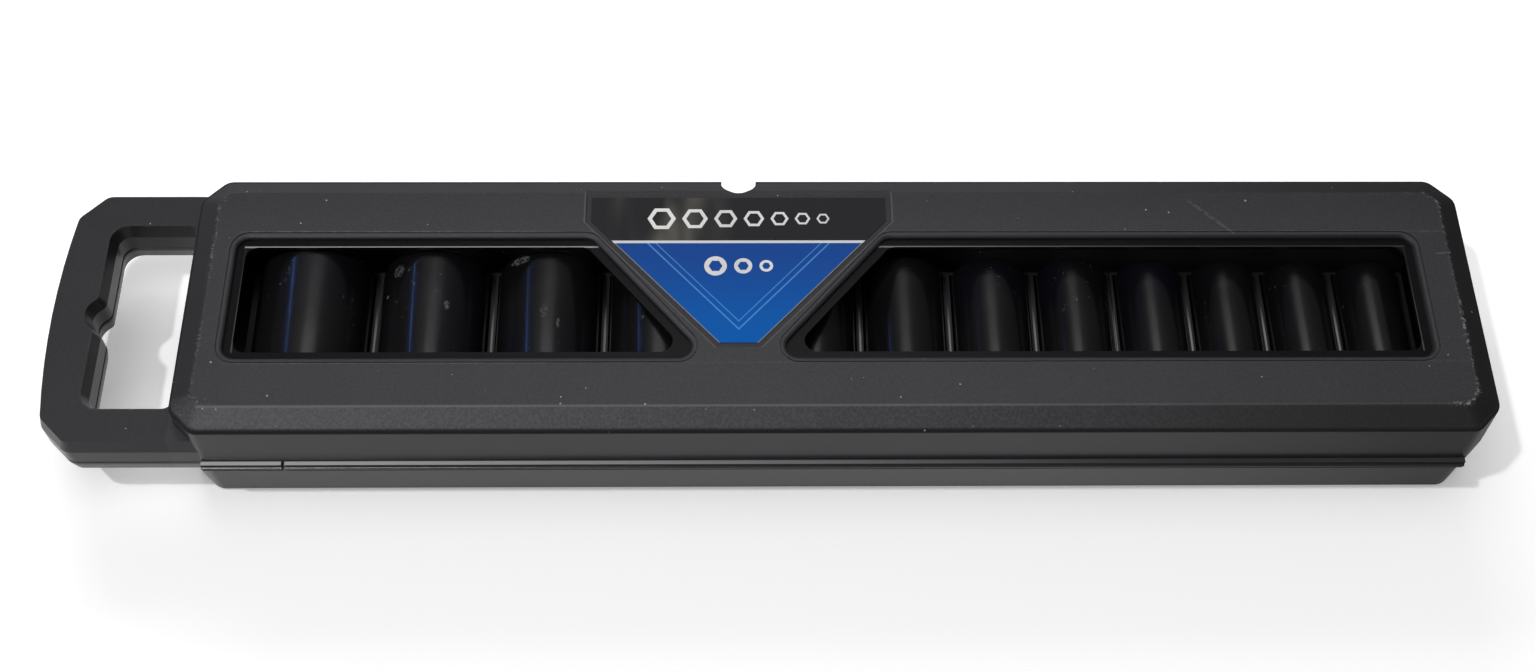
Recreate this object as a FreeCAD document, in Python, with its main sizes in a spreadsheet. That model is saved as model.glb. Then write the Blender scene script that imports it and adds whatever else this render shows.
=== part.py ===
import FreeCAD
import Part
import os
import re
import Sketcher
from FreeCAD import Placement, Rotation, Vector

# A set of deep sockets in a hinged plastic case, closed, standing on z = 0.
# Millimetres. X runs along the case from the handle, the hinge is at the front (-Y), Z is up.
# Inside each sub-part X = 0 and Y = 0 are the middle of the case body without handle and hinge.

doc = FreeCAD.newDocument("socket_set")
sheet = doc.addObject("Spreadsheet::Sheet", "dims")

case_sizes = {
    "left_margin": 21.5,  # from the handle end of the case to the row of larger sockets
    "right_margin": 21,
    "v_space": 22,  # between the two rows
    "front_room": 6,  # from the hinge side to the sockets
    "rear_room": 32,  # from the sockets to the opening side, with the finger trough
    "lid_room": 0.8,  # over the largest socket
    "corner_cut": 10,
    "corner_round": 6,
    "parting_drop": 1,  # from the middle of the sockets down to where base and lid meet
    "parting_gap": 0.3,
    "parting_edge": 0.4,  # chamfer along the edges where base and lid meet
    "base_draft": 1.5,
    "lid_draft": 1,
    "bevel_run": 8.9,
    "bevel_drop": 5,
    "bevel_round": 12,  # where two bevels meet
    "wall": 2.2,
    "edge_round": 1.2,
    "foot_round": 2.4,
    "bond": 1.2,  # how far what is moulded on reaches into the wall
}

# the handle, in both halves of the case
handle_sizes = {
    "handle_reach": 54,
    "handle_inset": 0.8,
    "handle_cut": 11,
    "handle_round": 6,
    "handle_bow": 3.2,
    "handle_rise": 14,
    "handle_sink": 7.6,
    "handle_bevel": 1.5,
    "handle_bevel_drop": 6,
    "grip_width": 19.8,
    "hole_side": 16.95,
    "hole_margin": 1.6,
    "hole_round": 5.5,
    "hole_root_round": 3,
    "hang_radius": 6,
    "hang_round": 4,
    "hang_depth": 4.3,
    "hang_y": 0.6,
}

# windows, liner and label recess in the lid, laid out about the middle of the V
lid_sizes = {
    "v_offset": 10,
    "v_tip": 12.2,
    "v_wide": 57.5,
    "window_over": 2.5,
    "window_short": 2.5,
    "window_rim": 30.7,
    "window_round": 5,
    "window_lip": 1.6,
    "window_line": 0.45,  # width and depth of the line round each lip
    "flange": 3.3,
    "liner": 1.5,
    "liner_inset": 1.6,
    "liner_end": 17,
    "recess_depth": 0.8,
    "recess_wide": 60.2,
    "recess_tip": 8.5,
    "recess_rise": 7,
    "recess_lead": 4.1,
    "label_margin": 2.2,
    "label_rim": 11.9,
    "label_sheet": 0.3,
    "thumb_radius": 7,
    "thumb_inset": 2.5,
}

# the hinge along the front, and the pegs that hold the lid shut
closing_sizes = {
    "lip_reach": 1.8,
    "lip_sheet": 2.2,
    "web_radius": 0.7,
    "web_clear": 0.08,
    "slit_inset": 41,
    "slit_width": 1.2,
    "post_radius": 3.6,
    "peg_radius": 2.6,
    "peg_tip": 1.9,
    "peg_straight": 1.7,
    "peg_entry": 5,
    "peg_clear": 0.35,
    "boss_wall": 1.8,
    "grip_peg_inset": 16,
    "end_peg_inset": 9,
    "end_peg_side": 21.5,
}

# what the sockets share, and their racks
socket_sizes = {
    "socket_length": 77,
    "socket_gap": 4,
    "cradle_clear": 0.7,
    "cradle_wall": 1.5,
    "cradle_lift": 0.8,
    "end_clear": 0.4,
    "end_wall": 1.5,
    "stop_lip": 3,
    "rack_seam": 0.3,
    "drive_square": 12.7,
    "drive_depth": 16,
    "drive_limit": 31,
    "step_start": 22,
    "step_length": 4,
    "nose_round": 2.2,
    "drive_round": 1.2,
    "groove_z": 8,
    "groove_width": 3,
    "groove_depth": 1,
    "pin_radius": 1.4,
    "bore_share": 0.9,  # of the hexagon
    "hex_share": 1.1,  # depth of the hexagon, as a share of its width
}

# hexagon and outside diameter, largest first: four to the left of the V and eight to the right
left_set = {"32": 45, "30": 42, "29": 40.5, "27": 39}
right_set = {"22": 32, "21": 31.5, "19": 30, "18": 28, "17": 26, "16": 25.5, "15": 25, "14": 25}

# three racks of four: name, sockets, where it starts, and whether a rack joins on at the left and right
left_marks = list(left_set)
right_marks = list(right_set)
rack_places = len(left_marks)
middle_marks = right_marks[:rack_places]
last_marks = right_marks[rack_places:]
middle_end = f"(x_{middle_marks[-1]} + out_{middle_marks[-1]} / 2 + socket_gap / 2)"
racks = [
    ("rack_left", left_marks, "left_start", False, False),
    ("rack_middle", middle_marks, "right_start", False, True),
    ("rack_right", last_marks, middle_end, True, False),
]

# what follows from the sizes: the case is as large as the sockets in it ask for
tied_sizes = {
    "left_row": " + ".join(f"out_{mark} + socket_gap" for mark in left_set),
    "right_row": " + ".join(f"out_{mark} + socket_gap" for mark in right_set),
    "largest": "max(" + "; ".join(f"out_{mark}" for mark in [*left_set, *right_set]) + ")",
    "case_length": "left_margin + left_row + v_space + right_row + right_margin",
    "case_depth": "front_room + socket_length + rear_room",
    "socket_z": "wall + cradle_lift + cradle_wall + largest / 2",
    "case_height": "socket_z + largest / 2 + lid_room + liner + wall",
    "parting": "socket_z - parting_drop",
    "base_top": "parting - parting_gap / 2",
    "lid_bottom": "parting + parting_gap / 2",
    "lid_lean": "lid_draft / (case_height - bevel_drop - lid_bottom)",
    "corner_face": "(case_length / 2 + case_depth / 2 - corner_cut) / sqrt(2)",
    "left_start": "-case_length / 2 + left_margin",
    "right_start": "left_start + left_row + v_space",
    "socket_front": "-case_depth / 2 + front_room",
    "hole_half": "case_depth / 2 - handle_inset - hole_side",
    "hang_half": "sqrt(hang_depth * (2 * hang_radius - hang_depth))",
    "v_x": "left_start + left_row + v_offset",
    "window_left": "left_start - window_over",
    "window_right": "right_start + right_row - window_short",
    "window_half": "case_depth / 2 - window_rim",
    "v_slope": "(v_wide - v_tip) / (2 * window_half)",
    "v_skew": "sqrt(1 + v_slope * v_slope)",
    "recess_bend": "window_half + recess_rise",
    "recess_front": "-window_half + recess_lead",
    "recess_slope": "(recess_wide - recess_tip) / (recess_bend - recess_front)",
    "recess_skew": "sqrt(1 + recess_slope * recess_slope)",
    "label_back": "case_depth / 2 - label_rim",
    "thumb_y": "case_depth / 2 - thumb_inset",
    "hinge_length": "case_length - 2 * corner_cut",
    "hinge_y": "-case_depth / 2 - lip_reach",
    "slit_x": "-case_length / 2 + slit_inset",
    # where the case body stands, so that the whole set is centred on the origin
    "case_x": "handle_reach / 2",
    "case_y": "(lip_reach + web_radius) / 2",
}

aliases = []


def size(name, value):
    aliases.append(name)
    row = len(aliases)
    sheet.set(f"A{row}", name)
    sheet.set(f"B{row}", str(value))
    sheet.setAlias(f"B{row}", name)


def socket_row(outsides, start):
    edge = start
    for mark, outside in outsides.items():
        size(f"x_{mark}", f"={edge} + socket_gap / 2 + out_{mark} / 2")
        edge = f"x_{mark} + out_{mark} / 2 + socket_gap / 2"


for group in (case_sizes, handle_sizes, lid_sizes, closing_sizes, socket_sizes):
    for name, value in group.items():
        size(name, value)
for mark, outside in {**left_set, **right_set}.items():
    size(f"hex_{mark}", mark)
    size(f"corner_{mark}", f"=hex_{mark} / sqrt(3)")
    size(f"out_{mark}", outside)
    size(f"drive_{mark}", f"=min(out_{mark}; drive_limit)")
for name, rule in tied_sizes.items():
    size(name, "=" + rule)
socket_row(left_set, "left_start")
socket_row(right_set, "right_start")
doc.recompute()

near = 0.01  # two places this close are the same one


def formula(text):
    return re.sub(r"\b[a-z]\w*", r"dims.\g<0>", text)


# a second sheet only works out what a formula comes to while sketches are drawn
trial = doc.addObject("Spreadsheet::Sheet", "trial")


def number(text):
    trial.set("A1", "=" + formula(text))
    trial.recompute()
    return float(trial.get("A1"))


def bind(thing, name, text):
    thing.setExpression(name, formula(text))


def place(thing, x, y, z):
    bind(thing, "Placement.Base.x", f"case_x + {x}")
    bind(thing, "Placement.Base.y", f"case_y + {y}")
    bind(thing, "Placement.Base.z", z)


def new_body(name):
    body = doc.addObject("PartDesign::Body", name)
    body.Label = name
    place(body, "0", "0", "0")
    return body


def new_sketch(body, name, plane, level, turn=0):
    sketch = body.newObject("Sketcher::SketchObject", name)
    for feature in body.Origin.OriginFeatures:
        if feature.Role == plane:
            sketch.AttachmentSupport = [(feature, "")]
    sketch.MapMode = "FlatFace"
    sketch.AttachmentOffset = Placement(Vector(0, 0, 0), Rotation(Vector(0, 1, 0), turn))
    bind(sketch, "AttachmentOffset.Base.z", level)
    return sketch


def hold(sketch, index, corner, point):
    # measured from the sketch's own origin, which is its geometry -1
    for axis, text in zip("XY", point):
        key = f"{axis.lower()}{index}"
        spot = sketch.addConstraint(
            Sketcher.Constraint(f"Distance{axis}", -1, 1, index, corner, number(text))
        )
        sketch.renameConstraint(spot, key)
        bind(sketch, f"Constraints.{key}", text)


def hold_radius(sketch, index, text):
    key = f"radius{index}"
    spot = sketch.addConstraint(Sketcher.Constraint("Radius", index, number(text)))
    sketch.renameConstraint(spot, key)
    bind(sketch, f"Constraints.{key}", text)


def add_polygon(sketch, points, bow=None):
    # points run anticlockwise; bow = (where that side starts, how far it stands out in -X, its radius)
    spots = [Vector(number(x), number(y), 0) for x, y in points]
    first = sketch.GeometryCount
    for i, spot in enumerate(spots):
        after = spots[(i + 1) % len(spots)]
        if bow and bow[0] == points[i]:
            middle = (spot + after) / 2 - Vector(number(bow[1]), 0, 0)
            sketch.addGeometry(Part.Arc(spot, middle, after))
        else:
            sketch.addGeometry(Part.LineSegment(spot, after))
    for i, point in enumerate(points):
        after = first + (i + 1) % len(points)
        sketch.addConstraint(Sketcher.Constraint("Coincident", first + i, 2, after, 1))
        hold(sketch, first + i, 1, point)
    if bow:
        hold_radius(sketch, first + points.index(bow[0]), bow[2])


def polygon(body, name, level, points, bow=None, plane="XY_Plane"):
    sketch = new_sketch(body, name, plane, level)
    add_polygon(sketch, points, bow)
    return sketch


def circle(body, name, level, x, y, radius, plane="XY_Plane"):
    sketch = new_sketch(body, name, plane, level)
    middle = Vector(number(x), number(y), 0)
    sketch.addGeometry(Part.Circle(middle, Vector(0, 0, 1), number(radius)))
    hold(sketch, 0, 3, (x, y))
    hold_radius(sketch, 0, radius)
    return sketch


def pad(body, sketch, length, down=False):
    feature = body.newObject("PartDesign::Pad", sketch.Name + "_pad")
    feature.Profile = sketch
    bind(feature, "Length", length)
    feature.Reversed = down
    return feature


def pocket(body, sketch, length, up=False):
    feature = body.newObject("PartDesign::Pocket", sketch.Name + "_pocket")
    feature.Profile = sketch
    bind(feature, "Length", length)
    feature.Reversed = up
    return feature


def through(body, sketch, length):
    feature = pocket(body, sketch, length)
    feature.SideType = "Symmetric"
    return feature


def dress(body, kind, name, amount, chosen):
    doc.recompute()
    base = body.Tip
    edges = [f"Edge{i + 1}" for i, edge in enumerate(base.Shape.Edges) if chosen(edge)]
    feature = body.newObject(f"PartDesign::{kind}", name)
    feature.Base = (base, edges)
    bind(feature, "Radius" if kind == "Fillet" else "Size", amount)
    return feature


def bevel(body, name, run, drop, chosen):
    # one edge is enough: the bevel goes on round every rounded corner
    doc.recompute()
    base = body.Tip
    index, edge = next((i, edge) for i, edge in enumerate(base.Shape.Edges) if chosen(edge))
    sides = [face for face in base.Shape.Faces if any(edge.isSame(other) for other in face.Edges)]
    feature = body.newObject("PartDesign::Chamfer", name)
    feature.Base = (base, [f"Edge{index + 1}"])
    feature.ChamferType = "Two distances"
    feature.FlipDirection = sides[0].BoundBox.ZLength > near
    bind(feature, "Size", run)
    bind(feature, "Size2", drop)
    return feature


def level_edge(edge, z):
    box = edge.BoundBox
    return abs(box.ZMin - z) < near and abs(box.ZMax - z) < near


def upright_at(points):
    # picks the upright edges that stand at these points
    spots = [(number(x), number(y)) for x, y in points]

    def chosen(edge):
        box = edge.BoundBox
        upright = box.ZLength > near and box.XLength < near and box.YLength < near
        return upright and any(abs(box.XMin - x) < near and abs(box.YMin - y) < near for x, y in spots)

    return chosen


def outer_rim(level):
    # picks the level edges round the outside of the case body at this height
    z, reach = number(level), number("wall / 2")
    length, depth, corner = (number(text) for text in ("case_length / 2", "case_depth / 2", "corner_face"))

    def chosen(edge):
        spot = edge.valueAt((edge.FirstParameter + edge.LastParameter) / 2)
        x, y = abs(spot.x), abs(spot.y)
        past = max(x - length, y - depth, (x + y) / 2**0.5 - corner)
        return level_edge(edge, z) and past > -reach

    return chosen


def slanted_edge(edge):
    box = edge.BoundBox
    return box.ZLength > near and (box.XLength > near or box.YLength > near)


def inside_edge(edge, left, right, half):
    box = edge.BoundBox
    return box.XMin > left - near and box.XMax < right + near and abs(box.Center.y) < half + near


def rectangle(left, right, front, back):
    return [(left, front), (right, front), (right, back), (left, back)]


def octagon(half_x, half_y):
    return [
        (f"-({half_x}) + corner_cut", f"-({half_y})"),
        (f"{half_x} - corner_cut", f"-({half_y})"),
        (half_x, f"-({half_y}) + corner_cut"),
        (half_x, f"{half_y} - corner_cut"),
        (f"{half_x} - corner_cut", half_y),
        (f"-({half_x}) + corner_cut", half_y),
        (f"-({half_x})", f"{half_y} - corner_cut"),
        (f"-({half_x})", f"-({half_y}) + corner_cut"),
    ]


def inset_octagon(inset):
    return octagon(f"(case_length / 2 - ({inset}))", f"(case_depth / 2 - ({inset}))")


def slope_sides(body, name, profile):
    # cuts the eight upright sides back to a profile of (inset, height) points
    sides = {
        "ends": ("XZ_Plane", 0, "case_length / 2"),
        "long": ("YZ_Plane", 0, "case_depth / 2"),
        "corners_a": ("XZ_Plane", 45, "corner_face"),
        "corners_b": ("XZ_Plane", -45, "corner_face"),
    }
    for side, (plane, turn, face) in sides.items():
        sketch = new_sketch(body, f"{name}_{side}", plane, "0", turn)
        add_polygon(sketch, [(f"{face} - ({inset})", z) for inset, z in profile])
        add_polygon(sketch, [(f"-{face} + ({inset})", z) for inset, z in profile])
        through(body, sketch, "case_length + case_depth")


# outline of the handle: it starts inside the end wall and follows the cut corners of the body
handle_end = "(-case_length / 2 - handle_reach)"
handle_half = "(case_depth / 2 - handle_inset)"
handle_root = "(-case_length / 2 + corner_cut - handle_inset + bond)"
bow_half = f"({handle_half} - handle_cut)"
bow_start = (f"{handle_end} + handle_bow", bow_half)
handle_outline = [
    (handle_root, f"-{handle_half}"),
    ("-case_length / 2 + bond", "-case_depth / 2 + corner_cut"),
    ("-case_length / 2 + bond", "case_depth / 2 - corner_cut"),
    (handle_root, handle_half),
    (f"{handle_end} + handle_bow + handle_cut", handle_half),
    bow_start,
    (f"{handle_end} + handle_bow", f"-{handle_half} + handle_cut"),
    (f"{handle_end} + handle_bow + handle_cut", f"-{handle_half}"),
]
handle_corners = handle_outline[4:]
handle_bowed = (bow_start, "handle_bow", f"({bow_half} * {bow_half} / handle_bow + handle_bow) / 2")

# the hollow inside each half of the handle is a C round the finger hole
grip_inside = f"({handle_end} + grip_width)"
hole_right = "(-case_length / 2 - hole_margin)"
hollow_right = f"({grip_inside} - hang_depth - wall)"
hollow_left = f"({handle_end} + handle_bow + wall)"
handle_hollow = [
    (hole_right, f"-{handle_half} + wall"),
    (hole_right, "-hole_half - wall"),
    (hollow_right, "-hole_half - wall"),
    (hollow_right, "hole_half + wall"),
    (hole_right, "hole_half + wall"),
    (hole_right, f"{handle_half} - wall"),
    (f"{hollow_left} + handle_cut", f"{handle_half} - wall"),
    (hollow_left, f"{handle_half} - wall - handle_cut"),
    (hollow_left, f"-{handle_half} + wall + handle_cut"),
    (f"{hollow_left} + handle_cut", f"-{handle_half} + wall"),
]
finger_hole = rectangle(grip_inside, hole_right, "-hole_half", "hole_half")
hang_ends = [(grip_inside, "hang_y - hang_half"), (grip_inside, "hang_y + hang_half")]
grip_peg_x = f"({hole_right} - grip_peg_inset)"
grip_peg_y = f"((hole_half + {handle_half}) / 2)"
end_peg_x = "(case_length / 2 - end_peg_inset)"
end_peg_y = "(case_depth / 2 - end_peg_side)"


def add_handle(case, name, level, thick, down):
    # the handle is shaped by itself, then joined to the end of the case
    body = doc.addObject("PartDesign::Body", name + "_handle")
    seam = number(level)
    face = number(f"{level} - {thick}" if down else f"{level} + {thick}")
    root = number("-case_length / 2")
    rim = [number(text) for text in (f"{grip_inside} - hang_depth", hole_right, "hole_half")]

    def outside(z):
        return lambda edge: level_edge(edge, z) and edge.BoundBox.XMin < root - near

    def round_hole(z):
        return lambda edge: level_edge(edge, z) and inside_edge(edge, *rim)

    outline = polygon(body, name + "_grip", level, handle_outline, handle_bowed)
    pad(body, outline, thick, down)
    dress(body, "Fillet", name + "_grip_corners", "handle_round", upright_at(handle_corners))
    bevel(body, name + "_grip_bevel", "handle_bevel", "handle_bevel_drop", outside(face))
    dress(body, "Chamfer", name + "_grip_seam", "parting_edge", outside(seam))
    hole = polygon(body, name + "_finger_hole", level, finger_hole)
    pocket(body, hole, thick, not down)
    dress(body, "Fillet", name + "_hole_corners", "hole_round", upright_at(finger_hole[::3]))
    dress(body, "Fillet", name + "_hole_root", "hole_root_round", upright_at(finger_hole[1:3]))
    notch_x = f"{grip_inside} + hang_radius - hang_depth"
    notch = circle(body, name + "_hang_notch", level, notch_x, "hang_y", "hang_radius")
    pocket(body, notch, thick, not down)
    dress(body, "Fillet", name + "_hang_round", "hang_round", upright_at(hang_ends))
    bevel(body, name + "_hole_bevel", "handle_bevel", "handle_bevel_drop", round_hole(face))
    dress(body, "Chamfer", name + "_hole_seam", "parting_edge", round_hole(seam))
    hollow = polygon(body, name + "_handle_hollow", level, handle_hollow)
    pocket(body, hollow, f"{thick} - wall", not down)
    joined = case.newObject("PartDesign::Boolean", name + "_joined")
    joined.setObjects([body])
    joined.Type = "Fuse"


def add_hinge_lip(body, name, level, down, clear):
    lip_plan = rectangle("-hinge_length / 2", "hinge_length / 2", "hinge_y", "-case_depth / 2 + bond")
    lip = polygon(body, name + "_hinge_lip", level, lip_plan)
    pad(body, lip, "lip_sheet", down)
    slit_left = "slit_x - slit_width / 2"
    slit_right = "slit_x + slit_width / 2"
    slit_plan = rectangle(slit_left, slit_right, "hinge_y - lip_reach", "-case_depth / 2")
    slit = polygon(body, name + "_hinge_slit", level, slit_plan)
    pocket(body, slit, "lip_sheet", not down)
    seat_radius = f"web_radius + {clear}"
    seat = circle(body, name + "_hinge_seat", "0", "hinge_y", "parting", seat_radius, "YZ_Plane")
    through(body, seat, "case_length")


def case_base():
    body = new_body("case_base")
    block = polygon(body, "base_block", "0", inset_octagon("0"))
    pad(body, block, "base_top")
    inside = polygon(body, "base_inside", "wall", inset_octagon("base_draft + wall"))
    pocket(body, inside, "base_top", True)
    slope_sides(
        body,
        "base",
        [
            ("base_draft", "0"),
            ("base_draft", "-wall"),
            ("-wall", "-wall"),
            ("-wall", "base_top"),
            ("0", "base_top"),
        ],
    )
    dress(body, "Fillet", "base_corners", "corner_round", slanted_edge)
    dress(body, "Chamfer", "base_seam", "parting_edge", outer_rim("base_top"))
    dress(body, "Fillet", "base_foot", "foot_round", lambda edge: level_edge(edge, 0))
    add_handle(body, "base", "base_top", "handle_sink", True)
    add_hinge_lip(body, "base", "base_top", True, "0")
    return body


def windows(inset):
    front = f"-window_half + {inset}"
    back = f"window_half - {inset}"
    near_tip = f"v_tip + {inset} * (v_slope + v_skew)"
    near_wide = f"v_wide + {inset} * (v_skew - v_slope)"
    left = [
        (f"window_left + {inset}", front),
        (f"v_x - ({near_tip})", front),
        (f"v_x - ({near_wide})", back),
        (f"window_left + {inset}", back),
    ]
    right = [
        (f"v_x + {near_tip}", front),
        (f"window_right - {inset}", front),
        (f"window_right - {inset}", back),
        (f"v_x + {near_wide}", back),
    ]
    return {"left": left, "right": right}


def cut_windows(body, name, top, depth, inset):
    both = windows(inset)
    for side, points in both.items():
        opening = polygon(body, f"{name}_{side}_window", top, points)
        pocket(body, opening, depth)
    corners = both["left"] + both["right"]
    dress(body, "Fillet", name + "_window_corners", "window_round", upright_at(corners))


def cut_window_line(body):
    lines = {"inner": "window_lip + window_line", "outer": "window_lip + window_line * 2"}
    rings = {name: windows(f"(-({away}))") for name, away in lines.items()}
    for side in ("left", "right"):
        ring = polygon(body, f"lid_{side}_line", "case_height", rings["outer"][side])
        add_polygon(ring, rings["inner"][side])
        pocket(body, ring, "window_line")
    for name, away in lines.items():
        corners = rings[name]["left"] + rings[name]["right"]
        dress(body, "Fillet", f"lid_line_{name}", f"window_round + {away}", upright_at(corners))


def v_outline(inset, back):
    tip = f"recess_tip + {inset} * (recess_slope - recess_skew)"
    wide = f"(recess_wide - {inset})"
    front = f"recess_front + {inset}"
    bend = f"recess_front + ({wide} - recess_tip + {inset} * recess_skew) / recess_slope"
    return [
        (f"v_x - ({tip})", front),
        (f"v_x + {tip}", front),
        (f"v_x + {wide}", bend),
        (f"v_x + {wide}", back),
        (f"v_x - {wide}", back),
        (f"v_x - {wide}", bend),
    ]


def add_boss(body, name, x, y, top):
    boss_radius = "peg_radius + peg_clear + boss_wall"
    boss = circle(body, name + "_boss", "lid_bottom", x, y, boss_radius)
    pad(body, boss, f"{top} - lid_bottom")
    hole = circle(body, name + "_hole", "lid_bottom", x, y, "peg_radius + peg_clear")
    pocket(body, hole, "peg_entry + peg_clear", True)


def case_lid():
    body = new_body("case_lid")
    block = polygon(body, "lid_block", "lid_bottom", inset_octagon("0"))
    pad(body, block, "case_height - lid_bottom")
    inside = polygon(body, "lid_inside", "lid_bottom", inset_octagon("lid_draft + wall"))
    pocket(body, inside, "case_height - bevel_drop - wall - lid_bottom", True)
    ceiling = polygon(
        body,
        "lid_ceiling",
        "case_height - bevel_drop - wall",
        inset_octagon("lid_draft + bevel_run + wall / 2"),
    )
    pocket(body, ceiling, "bevel_drop", True)
    scoop_wall = polygon(
        body,
        "lid_scoop_wall",
        "lid_bottom",
        rectangle(
            "v_x - thumb_radius - wall",
            "v_x + thumb_radius + wall",
            "thumb_y - thumb_radius - wall",
            "case_depth / 2 - wall",
        ),
    )
    pad(body, scoop_wall, "case_height - wall - lid_bottom")
    slope_sides(
        body,
        "lid",
        [
            ("0", "lid_bottom"),
            ("-wall", "lid_bottom"),
            ("-wall", "case_height"),
            ("lid_lean * (case_height - lid_bottom)", "case_height"),
        ],
    )
    dress(body, "Fillet", "lid_corners", "corner_round", slanted_edge)
    dress(body, "Chamfer", "lid_seam", "parting_edge", outer_rim("lid_bottom"))
    slope_sides(
        body,
        "lid_bevel",
        [
            ("lid_draft", "case_height - bevel_drop"),
            ("-wall", "case_height - bevel_drop"),
            ("-wall", "case_height + wall"),
            ("lid_draft + bevel_run", "case_height + wall"),
            ("lid_draft + bevel_run", "case_height"),
        ],
    )
    top = number("case_height")
    dress(
        body,
        "Fillet",
        "lid_bevel_corners",
        "bevel_round",
        lambda edge: slanted_edge(edge) and abs(edge.BoundBox.ZMax - top) < near,
    )
    bends = (top, number("case_height - bevel_drop"))
    bend_least = number("edge_round")
    dress(
        body,
        "Fillet",
        "lid_rounds",
        "edge_round",
        lambda edge: any(level_edge(edge, z) for z in bends) and edge.Length > bend_least,
    )
    add_handle(body, "lid", "lid_bottom", "handle_rise", False)
    cut_windows(body, "lid", "case_height", "wall", "0")
    reach = [number(text) for text in ("window_left", "window_right", "window_half")]
    dress(
        body,
        "Fillet",
        "lid_window_lip",
        "window_lip",
        lambda edge: level_edge(edge, top) and inside_edge(edge, *reach),
    )
    cut_window_line(body)
    recess = polygon(body, "lid_recess", "case_height", v_outline("0", "case_depth / 2"))
    pocket(body, recess, "recess_depth")
    thumb = circle(body, "lid_thumb", "case_height", "v_x", "thumb_y", "thumb_radius")
    pocket(body, thumb, "case_height - lid_bottom")
    add_boss(body, "grip", grip_peg_x, grip_peg_y, "lid_bottom + handle_rise - wall / 2")
    add_boss(body, "end", end_peg_x, end_peg_y, "case_height - bevel_drop - wall / 2")
    add_hinge_lip(body, "lid", "lid_bottom", False, "web_clear")
    return body


def lid_liner():
    body = new_body("lid_liner")
    half_y = "(case_depth / 2 - lid_draft - bevel_run - wall / 2 - liner_inset)"
    sheet_plan = octagon("(case_length / 2 - liner_end)", half_y)
    plan = polygon(body, "liner_plan", "case_height - wall", sheet_plan)
    pad(body, plan, "liner", True)
    cut_windows(body, "liner", "case_height - wall", "liner", "flange")
    return body


def label():
    body = new_body("label")
    plan = polygon(body, "label_plan", "case_height - recess_depth", v_outline("label_margin", "label_back"))
    pad(body, plan, "label_sheet")
    return body


def hinge_web(name, left, right):
    web = doc.addObject("Part::Cylinder", name)
    web.Label = name
    web.Placement = Placement(Vector(0, 0, 0), Rotation(Vector(0, 1, 0), 90))
    bind(web, "Radius", "web_radius")
    bind(web, "Height", f"{right} - ({left})")
    place(web, f"({left})", "hinge_y", "parting")
    return web


def spin(body, sketch):
    feature = body.newObject("PartDesign::Revolution", sketch.Name + "_turned")
    feature.Profile = sketch
    feature.ReferenceAxis = (sketch, ["V_Axis"])
    return feature


def closing_peg(name, x, y, seat):
    body = new_body(name)
    place(body, x, y, "0")
    profile = [
        ("0", seat),
        ("post_radius", seat),
        ("post_radius", "base_top"),
        ("peg_radius", "base_top"),
        ("peg_radius", "lid_bottom + peg_straight"),
        ("peg_tip", "lid_bottom + peg_entry"),
        ("0", "lid_bottom + peg_entry"),
    ]
    spin(body, polygon(body, name + "_profile", "0", profile, plane="XZ_Plane"))
    return body


def lying_rod(name, x, z, radius, front, length):
    rod = doc.addObject("Part::Cylinder", name)
    rod.Placement = Placement(Vector(0, 0, 0), Rotation(Vector(1, 0, 0), -90))
    bind(rod, "Radius", radius)
    bind(rod, "Height", length)
    place(rod, x, front, z)
    return rod


def block(name, left, right, front, back, bottom, top):
    box = doc.addObject("Part::Box", name)
    bind(box, "Length", f"{right} - ({left})")
    bind(box, "Width", f"{back} - ({front})")
    bind(box, "Height", f"{top} - ({bottom})")
    place(box, f"({left})", f"({front})", bottom)
    return box


def fused(name, things):
    whole = doc.addObject("Part::MultiFuse", name)
    whole.Shapes = things
    return whole


def less(name, base, tool):
    cut = doc.addObject("Part::Cut", name)
    cut.Base = base
    cut.Tool = tool
    return cut


def socket_rack(name, marks, start, seam_left, seam_right):
    # a row of half-round cradles with a ridge between each two, cut off square at both ends
    inner_front = "(socket_front - end_clear)"
    inner_back = "(socket_front + socket_length + end_clear)"
    front = f"({inner_front} - end_wall)"
    back = f"({inner_back} + end_wall)"
    inner = f"{inner_back} - {inner_front}"
    whole = f"{back} - {front}"
    axis = "socket_z + cradle_clear"
    half_ridge = "(socket_gap / 2 - cradle_clear)"
    edges = [start] + [f"(x_{mark} + out_{mark} / 2 + socket_gap / 2)" for mark in marks]
    left = f"({edges[0]} + rack_seam / 2)" if seam_left else f"({edges[0]} - {half_ridge})"
    right = f"({edges[-1]} - rack_seam / 2)" if seam_right else f"({edges[-1]} + {half_ridge})"
    far_left = f"({left} - socket_gap)"
    far_right = f"({right} + socket_gap)"
    solid = [
        block(f"{name}_front", left, right, front, inner_front, "wall", "socket_z"),
        block(f"{name}_back", left, right, inner_back, back, "wall", "socket_z"),
    ]
    hollow = [
        block(f"{name}_top", far_left, far_right, front, back, "socket_z", "case_height"),
        block(f"{name}_left", far_left, left, front, back, "0", "case_height"),
        block(f"{name}_right", right, far_right, front, back, "0", "case_height"),
    ]
    for i, edge in enumerate(edges):
        ridge = (f"({edge} - {half_ridge})", f"({edge} + {half_ridge})")
        solid.append(block(f"{name}_ridge_{i}", *ridge, front, back, "wall", "socket_z"))
    for mark in marks:
        cradle = f"out_{mark} / 2 + cradle_clear"
        shell = f"{cradle} + cradle_wall"
        stop = f"{cradle} - stop_lip"
        x = f"x_{mark}"
        solid.append(lying_rod(f"shell_{mark}", x, axis, shell, front, whole))
        hollow.append(lying_rod(f"cradle_{mark}", x, axis, cradle, inner_front, inner))
        hollow.append(lying_rod(f"stop_{mark}", x, axis, stop, front, whole))
    rack = less(name, fused(f"{name}_solid", solid), fused(f"{name}_hollow", hollow))
    rack.Label = name
    return rack


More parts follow.
